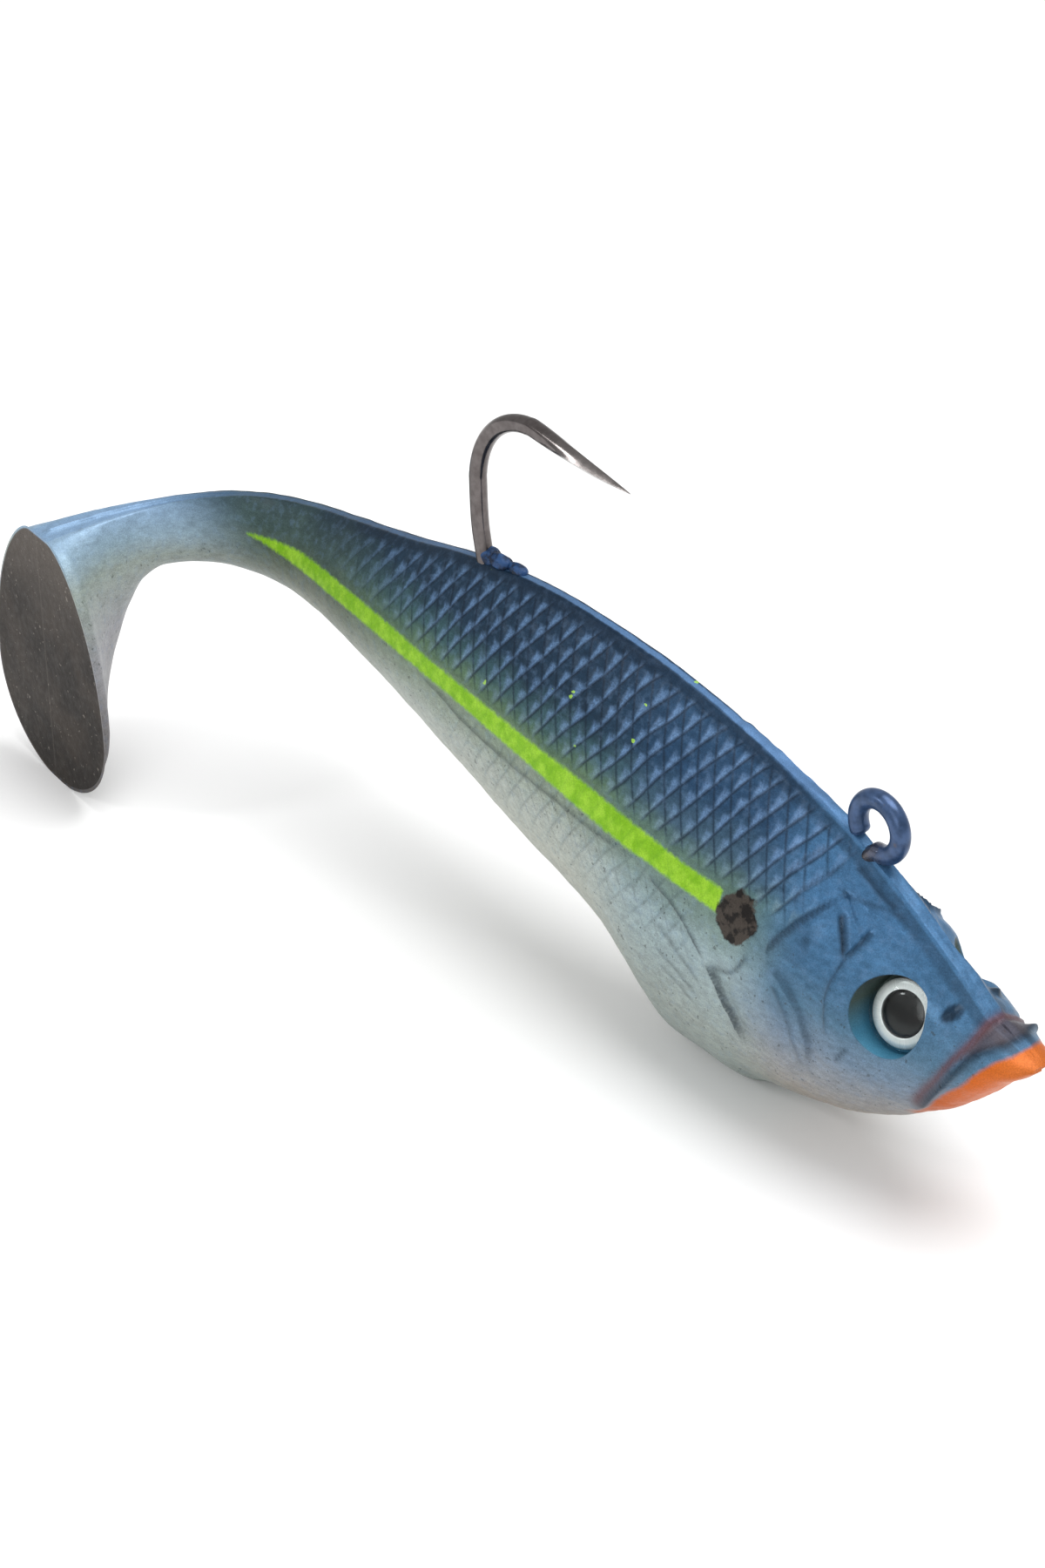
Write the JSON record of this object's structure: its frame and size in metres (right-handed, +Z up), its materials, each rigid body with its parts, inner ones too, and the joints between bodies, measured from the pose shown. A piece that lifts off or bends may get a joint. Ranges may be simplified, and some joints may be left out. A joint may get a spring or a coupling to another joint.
{
  "type": "soft swimbait",
  "caption": "Soft plastic fish lure with a paddle tail that bends at the body, stem and paddle, a wire hook with a line-tie ring, a cast weight inside and recessed eyes.",
  "frame": {"origin": "on the small flat of the belly that the lure rests on, in the middle plane of the body", "axes": "+X towards the snout, +Y towards the fish's left side, +Z up; the tail is curled towards -Y"},
  "size_m": [0.1059, 0.0255, 0.0436],
  "materials": {
    "soft_body": "satin pearl",
    "paddle": "matte",
    "cast_lead": "dull cast",
    "black_nickel": "black nickel",
    "eye_silver": "mirror foil",
    "eye_black": "gloss",
    "eye_clear": "clear resin"
  },
  "bodies": {
    "front": {"soft_body_front": "soft_body", "body_flexure": "soft_body", "lead_weight": "cast_lead", "hook": "black_nickel", "eye_foil_left": "eye_silver", "eye_foil_right": "eye_silver", "eye_pupil_left": "eye_black", "eye_pupil_right": "eye_black", "eye_lens_left": "eye_clear", "eye_lens_right": "eye_clear"},
    "rear": {"soft_body_rear": "soft_body", "stem_flexure": "soft_body"},
    "stem": {"tail_stem": "soft_body", "kick_flexure": "soft_body"},
    "paddle": {"paddle_tail": "paddle"}
  },
  "joints": [
    {"name": "body_sway", "type": "hinge", "parent": "front", "child": "rear", "pos_m": [-0.0358, 0, 0.02], "axis": [0, 0, 1], "range_deg": [-25, 20], "stiffness_Nm_per_rad": 0.02, "deforming": ["body_flexure"]},
    {"name": "tail_sway", "type": "hinge", "parent": "rear", "child": "stem", "pos_m": [-0.05099, -0.00019, 0.021], "axis": [0, 0, 1], "range_deg": [-55, 20], "stiffness_Nm_per_rad": 0.004, "deforming": ["stem_flexure"]},
    {"name": "tail_kick", "type": "hinge", "parent": "stem", "child": "paddle", "pos_m": [-0.06304, -0.0068, 0.021], "axis": [0, 0, 1], "range_deg": [-65, 25], "stiffness_Nm_per_rad": 0.001, "deforming": ["kick_flexure"]}
  ]
}
